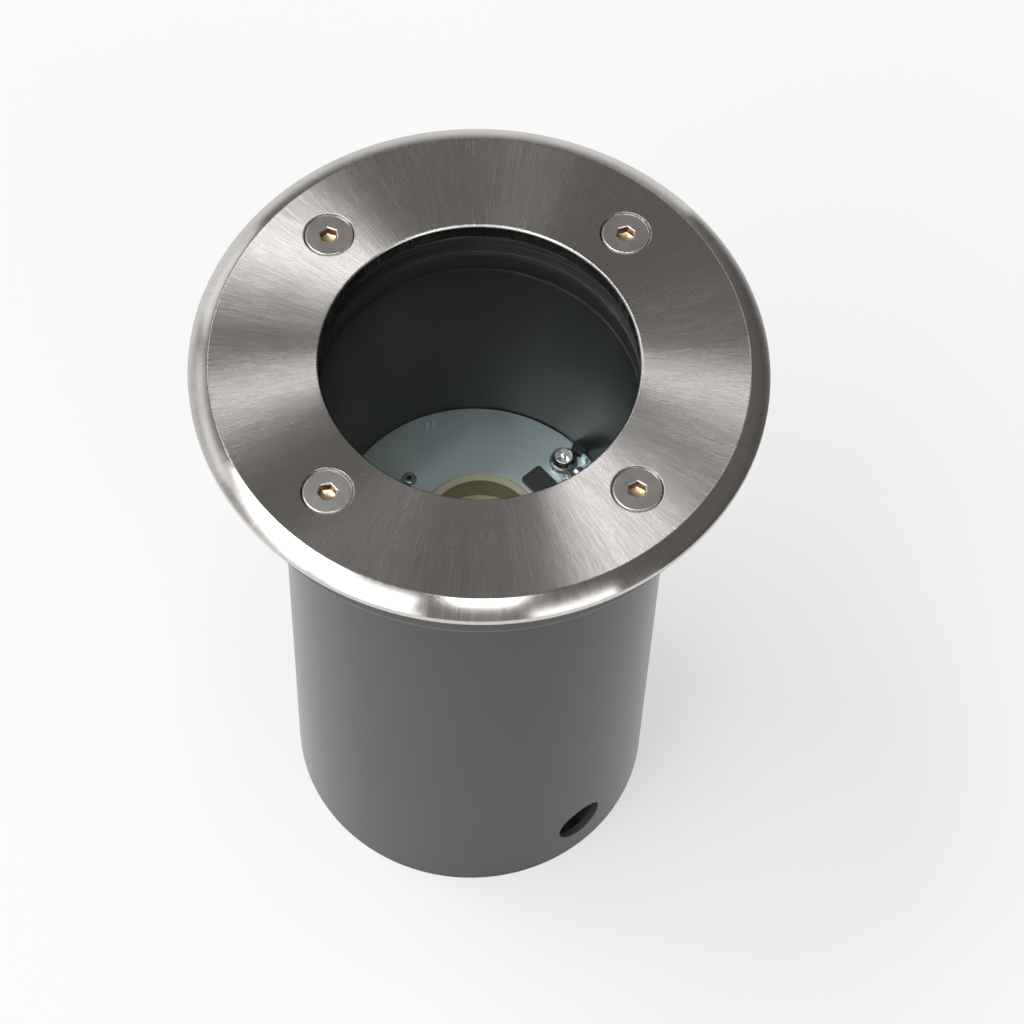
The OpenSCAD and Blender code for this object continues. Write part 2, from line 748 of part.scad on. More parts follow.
function tangents(p) = let (last = len(p) - 1)
    [for (i = [0:last]) unit(p[min(i + 1, last)] - p[max(i - 1, 0)])];

// One side direction per point, carried along the curve without twist
function sides(t, i, n) = i == len(t) ? []
    : let (m = unit(n - (n * t[i]) * t[i])) concat([m], sides(t, i + 1, m));

module lead(route) {
    p = smooth(route);
    t = tangents(p);
    n = sides(t, 0, abs(t[0].x) < abs(t[0].z) ? [1, 0, 0] : [0, 0, 1]);
    last = len(p) - 1;
    k = lead_sides;
    rings = [for (i = [0:last], j = [0:k - 1])
        p[i] + lead_r * (cos(j * 360 / k) * n[i] + sin(j * 360 / k) * cross(t[i], n[i]))];
    walls = [for (i = [0:last - 1], j = [0:k - 1], h = [0, 1])
        let (a = i * k + j, b = i * k + (j + 1) % k)
        h == 0 ? [b + k, b, a] : [a + k, b + k, a]];
    caps = [for (j = [1:k - 2], h = [0, 1])
        h == 0 ? [j, j + 1, 0] : [last * k + j + 1, last * k + j, last * k]];
    polyhedron(points = rings, faces = concat(walls, caps));
}

// The turn behind the block and the run into a pole's clamp
function into_pole(x) = let (step = 180 / (turn_steps + 1)) concat(
    [[x, turn_y - turn_out, lead_z]],
    [for (i = [1:turn_steps]) [x, turn_y + turn_r * sin(i * step), wire_z + turn_r * (1 + cos(i * step))]],
    [[x, turn_y - turn_out, wire_z], [x, block_y + clamp_pitch / 4, wire_z]]);

// The way from a lamp contact over the block to a pole
function from_holder(x, pole_x) = concat([
    [x, 0, pocket_under - lead_end_gap], [x, 0, holder_under],
    [x + (pole_x - x) / 8, block_y / 8, (holder_under + 2 * lead_z) / 3],
    [x + (pole_x - x) / 2, block_y / 2, lead_z], [pole_x, block_y, lead_z]], into_pole(pole_x));

module live_lead() {
    color([0.42, 0.25, 0.14]) lead(from_holder(holder_x - pin_pitch / 2, -pole_pitch));
}

module neutral_lead() {
    color([0.12, 0.3, 0.6]) lead(from_holder(holder_x + pin_pitch / 2, 0));
}

// Out of the lug's barrel, round in a short loop, down through the grommet and over to its pole
module earth_lead() {
    lug_axis = plate_top + barrel_r;
    mouth = -lug_reach;
    loop = mouth - barrel_len;
    x = grommet_n;
    y = grommet_hole_s;
    color([0.45, 0.6, 0.15]) lead(concat(
        [for (q = [
            [pillar_c, mouth + barrel_len / 2, lug_axis], [pillar_c, mouth - lead_r / 2, lug_axis],
            [pillar_c - lead_r / 2, (mouth + loop) / 2, lug_axis],
            [(pillar_c + x) / 2, loop, lug_axis + lead_r],
            [x, (mouth + loop) / 2, lug_axis + lead_d],
            [x, (mouth + y) / 2, lug_axis + lead_d], [x, y, plate_top + lead_d],
            [x, y, plate_under], [x, y, strap_top]]) turned(q, earth_angle)],
        [[holder_x + holder_r + lead_d, block_y / 2 + lead_d, (holder_under + plate_under) / 2],
         [holder_x + holder_r, block_y - lead_r, lead_z + lead_r],
         [pole_pitch + lead_d, block_y + lead_d, lead_z]],
        into_pole(pole_pitch)));
}

module gland_body() {
    top = floor_top + locknut_h + locknut_up;
    color(black) translate([0, -gland_off, 0]) difference() {
        union() {
            translate([0, 0, gland_hex_top - over]) cylinder(r = gland_r, h = top - gland_hex_top + over);
            translate([0, 0, gland_hex_under]) hex_bar(gland_af, gland_hex_h);
            translate([0, 0, gland_under]) cylinder(r = gland_thread_r, h = gland_thread_h + over);
        }
        translate([0, 0, gland_under - over]) cylinder(r = gland_bore_r, h = top - gland_under + 2 * over);
        translate([0, 0, gland_under - over]) cylinder(r = seal_r + seal_gap, h = seal_h - seal_out + over);
    }
}

module gland_washer() {
    color(black) translate([0, -gland_off, gland_hex_top])
        tube(gland_washer_r, gland_r + gland_gap, gland_washer_t);
}

module gland_seal() {
    color([0.2, 0.2, 0.2]) translate([0, -gland_off, seal_under]) tube(seal_r, cable_d / 2, seal_h);
}

module gland_nut() {
    hex_r = gland_af / sqrt(3);
    cavity_z = seal_under - nut_gap;
    color(black) translate([0, -gland_off, 0]) difference() {
        intersection() {
            translate([0, 0, nut_under]) hex_bar(gland_af, nut_len);
            rotate_extrude() polygon(concat([[0, nut_under]],
                arc([hex_r - dome_h, nut_under + dome_h], dome_h, -90, 0),
                [[hex_r, nut_top - hex_bevel], [hex_r - hex_bevel, nut_top], [0, nut_top]]));
        }
        translate([0, 0, nut_under - over]) cylinder(r = gland_bore_r, h = nut_len + 2 * over);
        translate([0, 0, cavity_z]) cylinder(r = seal_r + nut_cavity_gap, h = nut_top - cavity_z + over);
        translate([0, 0, gland_under - nut_gap])
            cylinder(r = gland_thread_r + thread_gap, h = nut_top - gland_under + nut_gap + over);
    }
}

module gland_locknut() {
    hex_r = gland_af / sqrt(3);
    color(black) translate([0, -gland_off, floor_top]) difference() {
        intersection() {
            hex_bar(gland_af, locknut_h);
            rotate_extrude() polygon([[0, 0], [hex_r, 0], [hex_r, locknut_h - hex_bevel],
                [hex_r - hex_bevel, locknut_h], [0, locknut_h]]);
        }
        translate([0, 0, -over]) cylinder(r = gland_r + gland_gap, h = locknut_h + 2 * over);
    }
}

ground_sleeve();
sleeve_collar();
housing();
cover_ring();
cover_screw(screw_angles[0]);  // cover_screw_1
cover_screw(screw_angles[1]);  // cover_screw_2
cover_screw(screw_angles[2]);  // cover_screw_3
cover_screw(screw_angles[3]);  // cover_screw_4
glass();
glass_gasket();
mounting_plate();
lampholder();
lamp_contacts();
lampholder_strap();
holder_rivets();
lead_grommet();
pan_screw(earth_angle, washer_z);  // earth_screw
earth_washer();
earth_lug();
pan_screw(earth_angle + 180, plate_top);  // plate_screw
terminal_block();
terminal_clamps();
terminal_screws();
terminal_fixings();
live_lead();
neutral_lead();
earth_lead();
gland_body();
gland_washer();
gland_seal();
gland_nut();
gland_locknut();
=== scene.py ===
import math

import bmesh
import bpy
from mathutils import Euler, Matrix, Vector


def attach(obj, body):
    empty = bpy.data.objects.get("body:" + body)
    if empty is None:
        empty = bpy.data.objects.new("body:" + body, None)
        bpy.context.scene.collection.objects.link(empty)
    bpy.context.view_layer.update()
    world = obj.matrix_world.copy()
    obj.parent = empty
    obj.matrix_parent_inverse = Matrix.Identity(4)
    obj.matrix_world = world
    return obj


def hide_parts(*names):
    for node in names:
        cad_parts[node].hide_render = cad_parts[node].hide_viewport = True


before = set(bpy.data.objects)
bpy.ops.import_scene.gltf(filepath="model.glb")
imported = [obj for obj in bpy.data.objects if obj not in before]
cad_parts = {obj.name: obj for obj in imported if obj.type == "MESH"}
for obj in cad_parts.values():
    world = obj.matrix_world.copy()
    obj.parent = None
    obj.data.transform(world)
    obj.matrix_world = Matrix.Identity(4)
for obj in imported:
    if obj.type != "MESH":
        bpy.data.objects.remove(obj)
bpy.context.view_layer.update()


# Sizes of the light in metres, which stands upright with its foot at height 0

MM = 0.001

OPENING_R = 30.35 * MM
BEVEL_R = 51.3 * MM
SLEEVE_R = 38.5 * MM

SCREW_PLACE = 28.567 * MM
HEAD_TOP = 152.9 * MM
HEAD_R = 4.65 * MM
HEAD_H = 2.5 * MM
RIM_LOW = 0.42 * MM
RIM_TOP = 0.3 * MM
EASE_IN = 0.04 * MM
EASE_TOP = 0.24 * MM
CHAMFER = 0.24 * MM
SHANK_R = 2.5 * MM
SHANK_TOP = 2.48 * MM
SHANK_TIP = 12.0 * MM
THREAD_ROOT_R = 2.06 * MM
PITCH = 0.8 * MM
SOCKET_R = 1.79 * MM
SOCKET_DEEP = 1.9 * MM
SOCKET_SIDES = 6
MOUTH_WIDER = 0.2 * MM
MOUTH_DEEP = 0.15 * MM
DRILL_R = 0.9 * MM
DRILL_DEEP = 0.25 * MM
SOCKET_TURNS = {1: 16.0, 2: 40.0, 3: 9.0, 4: 27.0}
SUPPORT = 0.03 * MM
ROUND = 48

GLASS_R = 33.05 * MM
GLASS_LOW = 140.27 * MM
GLASS_TOP = 148.33 * MM
GLASS_ARRIS = 0.4 * MM
GLASS_SIDES = 192


# Shader tools

def feed(tree, socket, value):
    """Joins an output to a socket, or else sets the socket's plain value."""
    if isinstance(value, bpy.types.NodeSocket):
        tree.links.new(value, socket)
    elif socket.type == "RGBA":
        socket.default_value = (*value, 1)
    else:
        socket.default_value = value


def fill(tree, node, sockets):
    """Feeds a node's sockets, each by its name or its number."""
    for name, value in sockets.items():
        feed(tree, node.inputs[name], value)


def put(tree, kind, sockets=None, **settings):
    """Adds a shader node with its settings and feeds its sockets."""
    made = tree.nodes.new(kind)
    for name, value in settings.items():
        setattr(made, name, value)
    fill(tree, made, sockets or {})
    return made


def sums(tree, operation, *values):
    """One Math node on values or outputs, clamped nowhere."""
    return put(tree, "ShaderNodeMath", dict(enumerate(values)), operation=operation).outputs[0]


def vectors(tree, operation, sockets, output="Vector"):
    """One Vector Math node. Lengths and dot products come from its output called Value."""
    return put(tree, "ShaderNodeVectorMath", sockets, operation=operation).outputs[output]


def spread(tree, value, from_low, from_high, to_low=0.0, to_high=1.0):
    """Maps a value's range smoothly on another one, with its ends held."""
    made = put(tree, "ShaderNodeMapRange", {
        "Value": value, "From Min": from_low, "From Max": from_high,
        "To Min": to_low, "To Max": to_high}, interpolation_type="SMOOTHSTEP")
    return made.outputs["Result"]


def blend(tree, kind, share, first, second):
    """Mixes two colours or two vectors by a share that changes over the surface."""
    made = put(tree, "ShaderNodeMix", {"Factor": share}, data_type=kind)
    for label, value in (("A", first), ("B", second)):
        feed(tree, next(s for s in made.inputs if s.name == label and s.type == kind), value)
    return next(s for s in made.outputs if s.type == kind)


def tint(tree, share, first, second):
    """A colour between two, by a share."""
    return blend(tree, "RGBA", share, first, second)


def noise(tree, where, scale, detail, roughness):
    """Noise at so many turns per metre, from 0 to 1."""
    made = put(tree, "ShaderNodeTexNoise", {
        "Vector": where, "Scale": scale, "Detail": detail, "Roughness": roughness})
    return made.outputs["Fac"]


def from_object(tree):
    """A point's place in its own object, which is its place in the light at rest."""
    return put(tree, "ShaderNodeTexCoord").outputs["Object"]


def from_axis(tree):
    """The level way outwards from the light's axis, and the distance from it."""
    level = vectors(tree, "MULTIPLY", {0: from_object(tree), 1: (1, 1, 0)})
    return vectors(tree, "NORMALIZE", {0: level}), vectors(tree, "LENGTH", {0: level}, "Value")


def new_group(name, inputs, outputs):
    """A node group with number inputs, the outputs of its start and the node that ends it."""
    group = bpy.data.node_groups.new(name, "ShaderNodeTree")
    for label, value in inputs.items():
        socket = group.interface.new_socket(label, in_out="INPUT", socket_type="NodeSocketFloat")
        socket.default_value = value
    for label, kind in outputs.items():
        group.interface.new_socket(label, in_out="OUTPUT", socket_type=f"NodeSocket{kind}")
    start = group.nodes.new("NodeGroupInput")
    end = group.nodes.new("NodeGroupOutput")
    return group, start.outputs, end


def make_outward_grain():
    """Brushed lines that run straight out from the light's axis, and wide bands of them."""
    band_share = 0.06
    group, given, end = new_group(
        "outward grain", {"Lines": 200.0, "Drift": 60.0}, {"Grain": "Float", "Bands": "Float"})
    outward, far = from_axis(group)
    spun = vectors(group, "SCALE", {0: outward, "Scale": given["Lines"]})
    lift = put(group, "ShaderNodeCombineXYZ", {"Z": sums(group, "MULTIPLY", far, given["Drift"])})
    track = vectors(group, "ADD", {0: spun, 1: lift.outputs[0]})
    wide = vectors(group, "SCALE", {0: track, "Scale": band_share})
    fill(group, end, {
        "Grain": noise(group, track, 1.0, detail=3.0, roughness=0.65),
        "Bands": noise(group, wide, 1.0, detail=2.0, roughness=0.5)})
    return group


def make_skin():
    """Cloudy tone, fine tooth and stray marks of a made surface, each from 0 to 1."""
    mark_scale = 900.0
    group, given, end = new_group(
        "skin", {"Cloud": 60.0, "Tooth": 3000.0},
        {"Cloud": "Float", "Tooth": "Float", "Marks": "Float"})
    where = from_object(group)
    fill(group, end, {
        "Cloud": noise(group, where, given["Cloud"], detail=3.0, roughness=0.55),
        "Tooth": noise(group, where, given["Tooth"], detail=2.0, roughness=0.6),
        "Marks": spread(group, noise(group, where, mark_scale, detail=1.0, roughness=0.5), 0.66, 0.8)})
    return group


def make_rubbed_edges():
    """Shows where edges are rubbed, from 0 to 1, and the normal that rounds them."""
    patch_scale = 700.0
    group, given, end = new_group(
        "rubbed edges", {"Reach": 0.3 * MM, "Wear": 0.6}, {"Rubbed": "Float", "Normal": "Vector"})
    rounded = put(group, "ShaderNodeBevel", {"Radius": given["Reach"]}, samples=6).outputs["Normal"]
    straight = put(group, "ShaderNodeNewGeometry").outputs["Normal"]
    along = vectors(group, "DOT_PRODUCT", {0: rounded, 1: straight}, "Value")
    edge = spread(group, sums(group, "SUBTRACT", 1.0, along), 0.01, 0.2)
    patchy = noise(group, from_object(group), patch_scale, detail=2.0, roughness=0.6)
    share = sums(group, "MULTIPLY", edge, spread(group, patchy, 0.35, 0.6, 0.3, 1.0))
    fill(group, end, {"Rubbed": sums(group, "MULTIPLY", share, given["Wear"]), "Normal": rounded})
    return group


OUTWARD_GRAIN = make_outward_grain()
SKIN = make_skin()
RUBBED_EDGES = make_rubbed_edges()


def use(tree, group, **values):
    """Places a node group with its own values, and gives its outputs."""
    return put(tree, "ShaderNodeGroup", values, node_tree=group).outputs


def end_with(tree, surface):
    """Joins the material's output to a shader."""
    end = next(n for n in tree.nodes if n.type == "OUTPUT_MATERIAL")
    tree.links.new(surface, end.inputs["Surface"])


def new_material(name):
    """A material, its tree and its shader, which is joined to the output."""
    made = bpy.data.materials.new(name)
    made.use_nodes = True
    tree = made.node_tree
    tree.nodes.clear()
    shader = tree.nodes.new("ShaderNodeBsdfPrincipled")
    tree.nodes.new("ShaderNodeOutputMaterial")
    end_with(tree, shader.outputs[0])
    return made, tree, shader


def clouded(tree, skin, least, more):
    """A roughness with its least value, and so much more where the cloudy tone is full."""
    return sums(tree, "MULTIPLY_ADD", skin["Cloud"], more, least)


def bumped(tree, height, depth, strength, edges=None):
    """The normal of a height that is so many metres deep, on rounded edges where they are given."""
    bump = put(tree, "ShaderNodeBump", {"Height": height, "Strength": strength, "Distance": depth})
    if edges:
        tree.links.new(edges["Normal"], bump.inputs["Normal"])
    return bump.outputs[0]


# Finishes

def brushed_ring():
    """Stainless steel brushed outwards from the window, with shade painted near black on the opening's
    wall, and sleeker on the bevel.
    """
    made, tree, shader = new_material("ring, brushed stainless")
    grain = use(tree, OUTWARD_GRAIN, Lines=150.0, Drift=170.0)
    edges = use(tree, RUBBED_EDGES, Reach=0.25 * MM, Wear=0.5)
    skin = use(tree, SKIN, Cloud=45.0)
    outward, far = from_axis(tree)
    painted_bore_shade = spread(tree, far, OPENING_R + 0.04 * MM, OPENING_R + 0.2 * MM, 1.0, 0.0)
    past_edge = spread(tree, far, OPENING_R + 0.3 * MM, OPENING_R + 1.2 * MM)
    slope = spread(tree, far, BEVEL_R - 0.3 * MM, BEVEL_R + 0.1 * MM)
    streak = spread(tree, grain["Grain"], 0.3, 0.7)
    steel = tint(tree, streak, (0.59, 0.565, 0.545), (0.65, 0.627, 0.605))
    steel = tint(tree, edges["Rubbed"], steel, (0.80, 0.78, 0.76))
    # Painted shade: the steel on the opening's wall is painted near black.
    steel = tint(tree, painted_bore_shade, steel, (0.035, 0.035, 0.034))
    rough = clouded(tree, skin, least=0.185, more=0.05)
    for share, more in ((grain["Bands"], 0.06), (streak, 0.035), (slope, -0.05)):
        rough = sums(tree, "MULTIPLY_ADD", share, more, rough)
    round_it = put(tree, "ShaderNodeTangent", direction_type="RADIAL", axis="Z").outputs[0]
    on_flat = sums(tree, "MULTIPLY", past_edge, sums(tree, "MULTIPLY_ADD", slope, -0.85, 1.0))
    lines = sums(tree, "MULTIPLY", grain["Grain"], on_flat)
    fill(tree, shader, {
        "Base Color": steel, "Roughness": rough, "Metallic": 1.0, "Anisotropic": 1.0,
        "Tangent": blend(tree, "VECTOR", slope, round_it, outward),
        "Normal": bumped(tree, lines, depth=0.016 * MM, strength=0.45, edges=edges)})
    return made


def turned_screw():
    """Plain stainless steel screw, with brown shade painted down the socket and a golden reflection
    painted at its bottom.
    """
    socket_shade_from, socket_shade_full = HEAD_TOP - 0.2 * MM, HEAD_TOP - 0.5 * MM
    floor_reflection_from, floor_reflection_full = HEAD_TOP - 1.75 * MM, HEAD_TOP - 1.95 * MM
    tints_end = HEAD_TOP - 2.3 * MM
    made, tree, shader = new_material("screw, plain stainless")
    edges = use(tree, RUBBED_EDGES, Reach=0.2 * MM, Wear=0.6)
    skin = use(tree, SKIN, Cloud=300.0, Tooth=6000.0)
    height = put(tree, "ShaderNodeSeparateXYZ", {0: from_object(tree)}).outputs["Z"]
    in_head = sums(tree, "GREATER_THAN", height, tints_end)
    brown = sums(tree, "MULTIPLY", spread(tree, height, socket_shade_full, socket_shade_from, 1.0, 0.0), in_head)
    painted_floor_reflection = sums(tree, "MULTIPLY", spread(tree, height, floor_reflection_full, floor_reflection_from, 1.0, 0.0), in_head)
    steel = tint(tree, skin["Cloud"], (0.72, 0.69, 0.665), (0.80, 0.77, 0.745))
    # Painted shade: the socket's walls are painted dark brown.
    steel = tint(tree, brown, steel, (0.20, 0.105, 0.06))
    # Painted reflection: the socket's floor is painted golden.
    steel = tint(tree, painted_floor_reflection, steel, (0.62, 0.47, 0.30))
    steel = tint(tree, edges["Rubbed"], steel, (0.80, 0.78, 0.75))
    fill(tree, shader, {
        "Base Color": steel, "Roughness": clouded(tree, skin, least=0.23, more=0.10), "Metallic": 1.0,
        "Normal": bumped(tree, skin["Tooth"], depth=0.01 * MM, strength=0.3, edges=edges)})
    return made


def satin_sleeve():
    """Smooth satin grey coat on steel."""
    made, tree, shader = new_material("sleeve, satin grey")
    edges = use(tree, RUBBED_EDGES, Reach=0.3 * MM, Wear=0.35)
    skin = use(tree, SKIN, Cloud=22.0, Tooth=2200.0)
    coat = tint(tree, skin["Cloud"], (0.092, 0.093, 0.089), (0.106, 0.107, 0.103))
    coat = tint(tree, edges["Rubbed"], coat, (0.30, 0.30, 0.29))
    fill(tree, shader, {
        "Base Color": coat, "Roughness": clouded(tree, skin, least=0.19, more=0.06), "IOR": 1.22,
        "Normal": bumped(tree, skin["Tooth"], depth=0.01 * MM, strength=0.35, edges=edges)})
    return made


def satin_black():
    """Satin black coat with a fine orange peel on cast metal."""
    made, tree, shader = new_material("housing, satin black")
    edges = use(tree, RUBBED_EDGES, Reach=0.4 * MM, Wear=0.25)
    skin = use(tree, SKIN, Cloud=50.0, Tooth=900.0)
    coat = tint(tree, skin["Cloud"], (0.0045, 0.005, 0.0055), (0.0075, 0.008, 0.009))
    coat = tint(tree, edges["Rubbed"], coat, (0.06, 0.06, 0.062))
    fill(tree, shader, {
        "Base Color": coat, "Roughness": clouded(tree, skin, least=0.28, more=0.12),
        "Specular IOR Level": 0.27,
        "Normal": bumped(tree, skin["Tooth"], depth=0.04 * MM, strength=0.35, edges=edges)})
    return made


def clear_window():
    """Clear glass that reflects little, and that lets light through to the chamber."""
    made, tree, shader = new_material("window, clear glass")
    skin = use(tree, SKIN, Cloud=40.0)
    fill(tree, shader, {
        "Base Color": (0.97, 0.985, 0.98), "Transmission Weight": 1.0, "IOR": 1.5,
        "Specular Tint": (0.45, 0.45, 0.45), "Roughness": 0.0,
        "Normal": bumped(tree, skin["Cloud"], depth=0.01 * MM, strength=0.02)})
    clear = put(tree, "ShaderNodeBsdfTransparent", {"Color": (0.94, 0.96, 0.955)})
    shadow = put(tree, "ShaderNodeLightPath").outputs["Is Shadow Ray"]
    both = put(tree, "ShaderNodeMixShader", {0: shadow, 1: shader.outputs[0], 2: clear.outputs[0]})
    end_with(tree, both.outputs[0])
    return made


def plain_metal(name, dark, light, rough, rubbed=(0.9, 0.9, 0.88), tooth=4000.0, depth=0.01 * MM):
    """Plated or bare metal with cloudy tone, fine tooth and bright edges."""
    made, tree, shader = new_material(name)
    edges = use(tree, RUBBED_EDGES, Reach=0.15 * MM, Wear=0.5)
    skin = use(tree, SKIN, Cloud=120.0, Tooth=tooth)
    metal = tint(tree, skin["Cloud"], dark, light)
    metal = tint(tree, edges["Rubbed"], metal, rubbed)
    fill(tree, shader, {
        "Base Color": metal, "Roughness": clouded(tree, skin, least=rough, more=0.14), "Metallic": 1.0,
        "Normal": bumped(tree, skin["Tooth"], depth=depth, strength=0.3, edges=edges)})
    return made


def moulded(name, dark, light, rough, rubbed=None, tooth=1800.0, depth=0.03 * MM):
    """Rubber, nylon or unglazed ceramic, with stray dark marks and edges rubbed paler."""
    mark = tuple(0.8 * c for c in dark)
    paler = tuple(1.5 * c + 0.01 for c in light)
    made, tree, shader = new_material(name)
    edges = use(tree, RUBBED_EDGES, Reach=0.3 * MM, Wear=0.4)
    skin = use(tree, SKIN, Cloud=70.0, Tooth=tooth)
    tone = tint(tree, skin["Cloud"], dark, light)
    tone = tint(tree, skin["Marks"], tone, mark)
    tone = tint(tree, edges["Rubbed"], tone, rubbed or paler)
    fill(tree, shader, {
        "Base Color": tone, "Roughness": clouded(tree, skin, least=rough, more=0.15),
        "Normal": bumped(tree, skin["Tooth"], depth=depth, strength=0.3, edges=edges)})
    return made


def striped_sheath():
    """Green sheath with yellow bands across it."""
    radians_per_metre = 1900.0
    made, tree, shader = new_material("earth lead, green and yellow")
    skin = use(tree, SKIN, Cloud=200.0, Tooth=3000.0)
    across = put(tree, "ShaderNodeSeparateXYZ", {0: from_object(tree)}).outputs["X"]
    wave = sums(tree, "SINE", sums(tree, "MULTIPLY", across, radians_per_metre))
    tone = tint(tree, spread(tree, wave, -0.15, 0.15), (0.06, 0.23, 0.04), (0.62, 0.55, 0.03))
    fill(tree, shader, {
        "Base Color": tone, "Roughness": clouded(tree, skin, least=0.38, more=0.15),
        "Normal": bumped(tree, skin["Tooth"], depth=0.02 * MM, strength=0.3)})
    return made


ring_steel = brushed_ring()
screw_steel = turned_screw()
sleeve_coat = satin_sleeve()
black_coat = satin_black()
window_glass = clear_window()
black_rubber = moulded(
    "gasket, black silicone", (0.010, 0.010, 0.010), (0.020, 0.020, 0.020), 0.5)
zinc_sheet = plain_metal(
    "plate, blued zinc", (0.50, 0.60, 0.62), (0.62, 0.72, 0.73), 0.27,
    tooth=2500.0, depth=0.02 * MM)
bright_zinc = plain_metal(
    "fixings, bright zinc", (0.62, 0.66, 0.66), (0.76, 0.80, 0.80), 0.16)
dark_steel = plain_metal(
    "washer, dark spring steel", (0.10, 0.10, 0.10), (0.18, 0.18, 0.18), 0.34)
tinned_copper = plain_metal(
    "lug, tinned copper", (0.30, 0.34, 0.35), (0.42, 0.46, 0.47), 0.3)
plain_brass = plain_metal(
    "contacts, plain brass", (0.62, 0.46, 0.20), (0.74, 0.58, 0.28), 0.22,
    rubbed=(0.86, 0.74, 0.45))
cream_ceramic = moulded(
    "lampholder, cream ceramic", (0.33, 0.305, 0.20), (0.41, 0.38, 0.26), 0.42,
    rubbed=(0.68, 0.65, 0.50), tooth=1500.0, depth=0.04 * MM)
black_plastic = moulded(
    "blocks, black moulding", (0.004, 0.004, 0.0045), (0.010, 0.010, 0.011), 0.5)
gland_nylon = moulded(
    "gland, black nylon", (0.016, 0.016, 0.018), (0.030, 0.030, 0.032), 0.36)
brown_sheath = moulded(
    "live lead, brown silicone", (0.085, 0.030, 0.012), (0.12, 0.045, 0.02), 0.4)
blue_sheath = moulded(
    "neutral lead, blue silicone", (0.012, 0.06, 0.25), (0.02, 0.09, 0.33), 0.4)
earth_stripes = striped_sheath()

finishes = {
    "ground_sleeve": sleeve_coat, "sleeve_collar": sleeve_coat, "housing": black_coat,
    "cover_ring": ring_steel, "glass": window_glass, "glass_gasket": black_rubber,
    "mounting_plate": zinc_sheet, "lampholder": cream_ceramic, "lamp_contacts": plain_brass,
    "lampholder_strap": zinc_sheet, "holder_rivets": bright_zinc, "lead_grommet": black_plastic,
    "earth_screw": bright_zinc, "earth_washer": dark_steel, "earth_lug": tinned_copper,
    "plate_screw": bright_zinc, "terminal_block": black_plastic, "terminal_clamps": plain_brass,
    "terminal_screws": bright_zinc, "terminal_fixings": bright_zinc, "live_lead": brown_sheath,
    "neutral_lead": blue_sheath, "earth_lead": earth_stripes, "gland_body": gland_nylon,
    "gland_washer": black_rubber, "gland_seal": black_rubber, "gland_nut": gland_nylon,
    "gland_locknut": gland_nylon}
for number in SOCKET_TURNS:
    finishes[f"cover_screw_{number}"] = screw_steel
for name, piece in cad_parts.items():
    piece.data.materials[0] = finishes[name]


# Shape tools

def to_mesh(shape, name):
    """Turns a bmesh into a mesh and frees it."""
    mesh = bpy.data.meshes.new(name)
    shape.to_mesh(mesh)
    shape.free()
    return mesh


def to_object(data, name):
    """Makes a mesh, a lamp or a camera an object of the scene."""
    made = bpy.data.objects.new(name, data)
    bpy.context.scene.collection.objects.link(made)
    return made


def open_edges(shape):
    """The edges with one face."""
    return [e for e in shape.edges if e.is_boundary]


def raise_points(shape, geom, height):
    """Moves the points among what an extrusion made straight up."""
    points = [v for v in geom if isinstance(v, bmesh.types.BMVert)]
    bmesh.ops.translate(shape, verts=points, vec=(0, 0, height))


def finish_piece(shape, name, finish, body, node, sharp=35.0):
    """Makes the piece an object with its finish, its ride and the node that it stands for."""
    bmesh.ops.recalc_face_normals(shape, faces=shape.faces)
    mesh = to_mesh(shape, name)
    mesh.shade_smooth()
    mesh.set_sharp_from_angle(angle=math.radians(sharp))
    mesh.materials.append(finish)
    piece = to_object(mesh, name)
    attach(piece, body)
    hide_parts(node)


# Cover screws, made round the middle of the head's top and then put in place

def outline_at(shape, radius, height, sides, turned):
    """A level loop of ROUND points: a circle, or an outline of so many flat sides."""
    points = []
    for i in range(ROUND):
        angle = 2 * math.pi * i / ROUND
        reach = radius
        if sides:
            step = 2 * math.pi / sides
            inside = (angle + step / 2) % step - step / 2
            reach = radius * math.cos(step / 2) / math.cos(step / 2 - abs(inside))
        place = (reach * math.cos(angle + turned), reach * math.sin(angle + turned), height)
        points.append(shape.verts.new(place))
    return [shape.edges.new((points[i], points[(i + 1) % ROUND])) for i in range(ROUND)]


def screw_head(turned):
    """Closed countersunk head with a chamfered rim and a broached hexagon socket."""
    outlines = [
        (SHANK_R, -HEAD_H, 0),
        (HEAD_R, -RIM_LOW, 0),
        (HEAD_R, -RIM_TOP, 0),
        (HEAD_R - EASE_IN, -EASE_TOP, 0),
        (HEAD_R - CHAMFER, 0.0, 0),
        (HEAD_R - CHAMFER - SUPPORT, 0.0, 0),
        (SOCKET_R + MOUTH_WIDER, 0.0, SOCKET_SIDES),
        (SOCKET_R + MOUTH_WIDER - SUPPORT, 0.0, SOCKET_SIDES),
        (SOCKET_R, -MOUTH_DEEP, SOCKET_SIDES),
        (SOCKET_R, -SOCKET_DEEP, SOCKET_SIDES),
        (DRILL_R, -SOCKET_DEEP - DRILL_DEEP, 0)]
    head = bmesh.new()
    loops = [outline_at(head, radius, height, sides, turned) for radius, height, sides in outlines]
    for first, second in zip(loops, loops[1:]):
        bmesh.ops.bridge_loops(head, edges=first + second)
    bmesh.ops.contextual_create(head, geom=loops[-1])
    bmesh.ops.contextual_create(head, geom=open_edges(head))
    return to_mesh(head, "head")


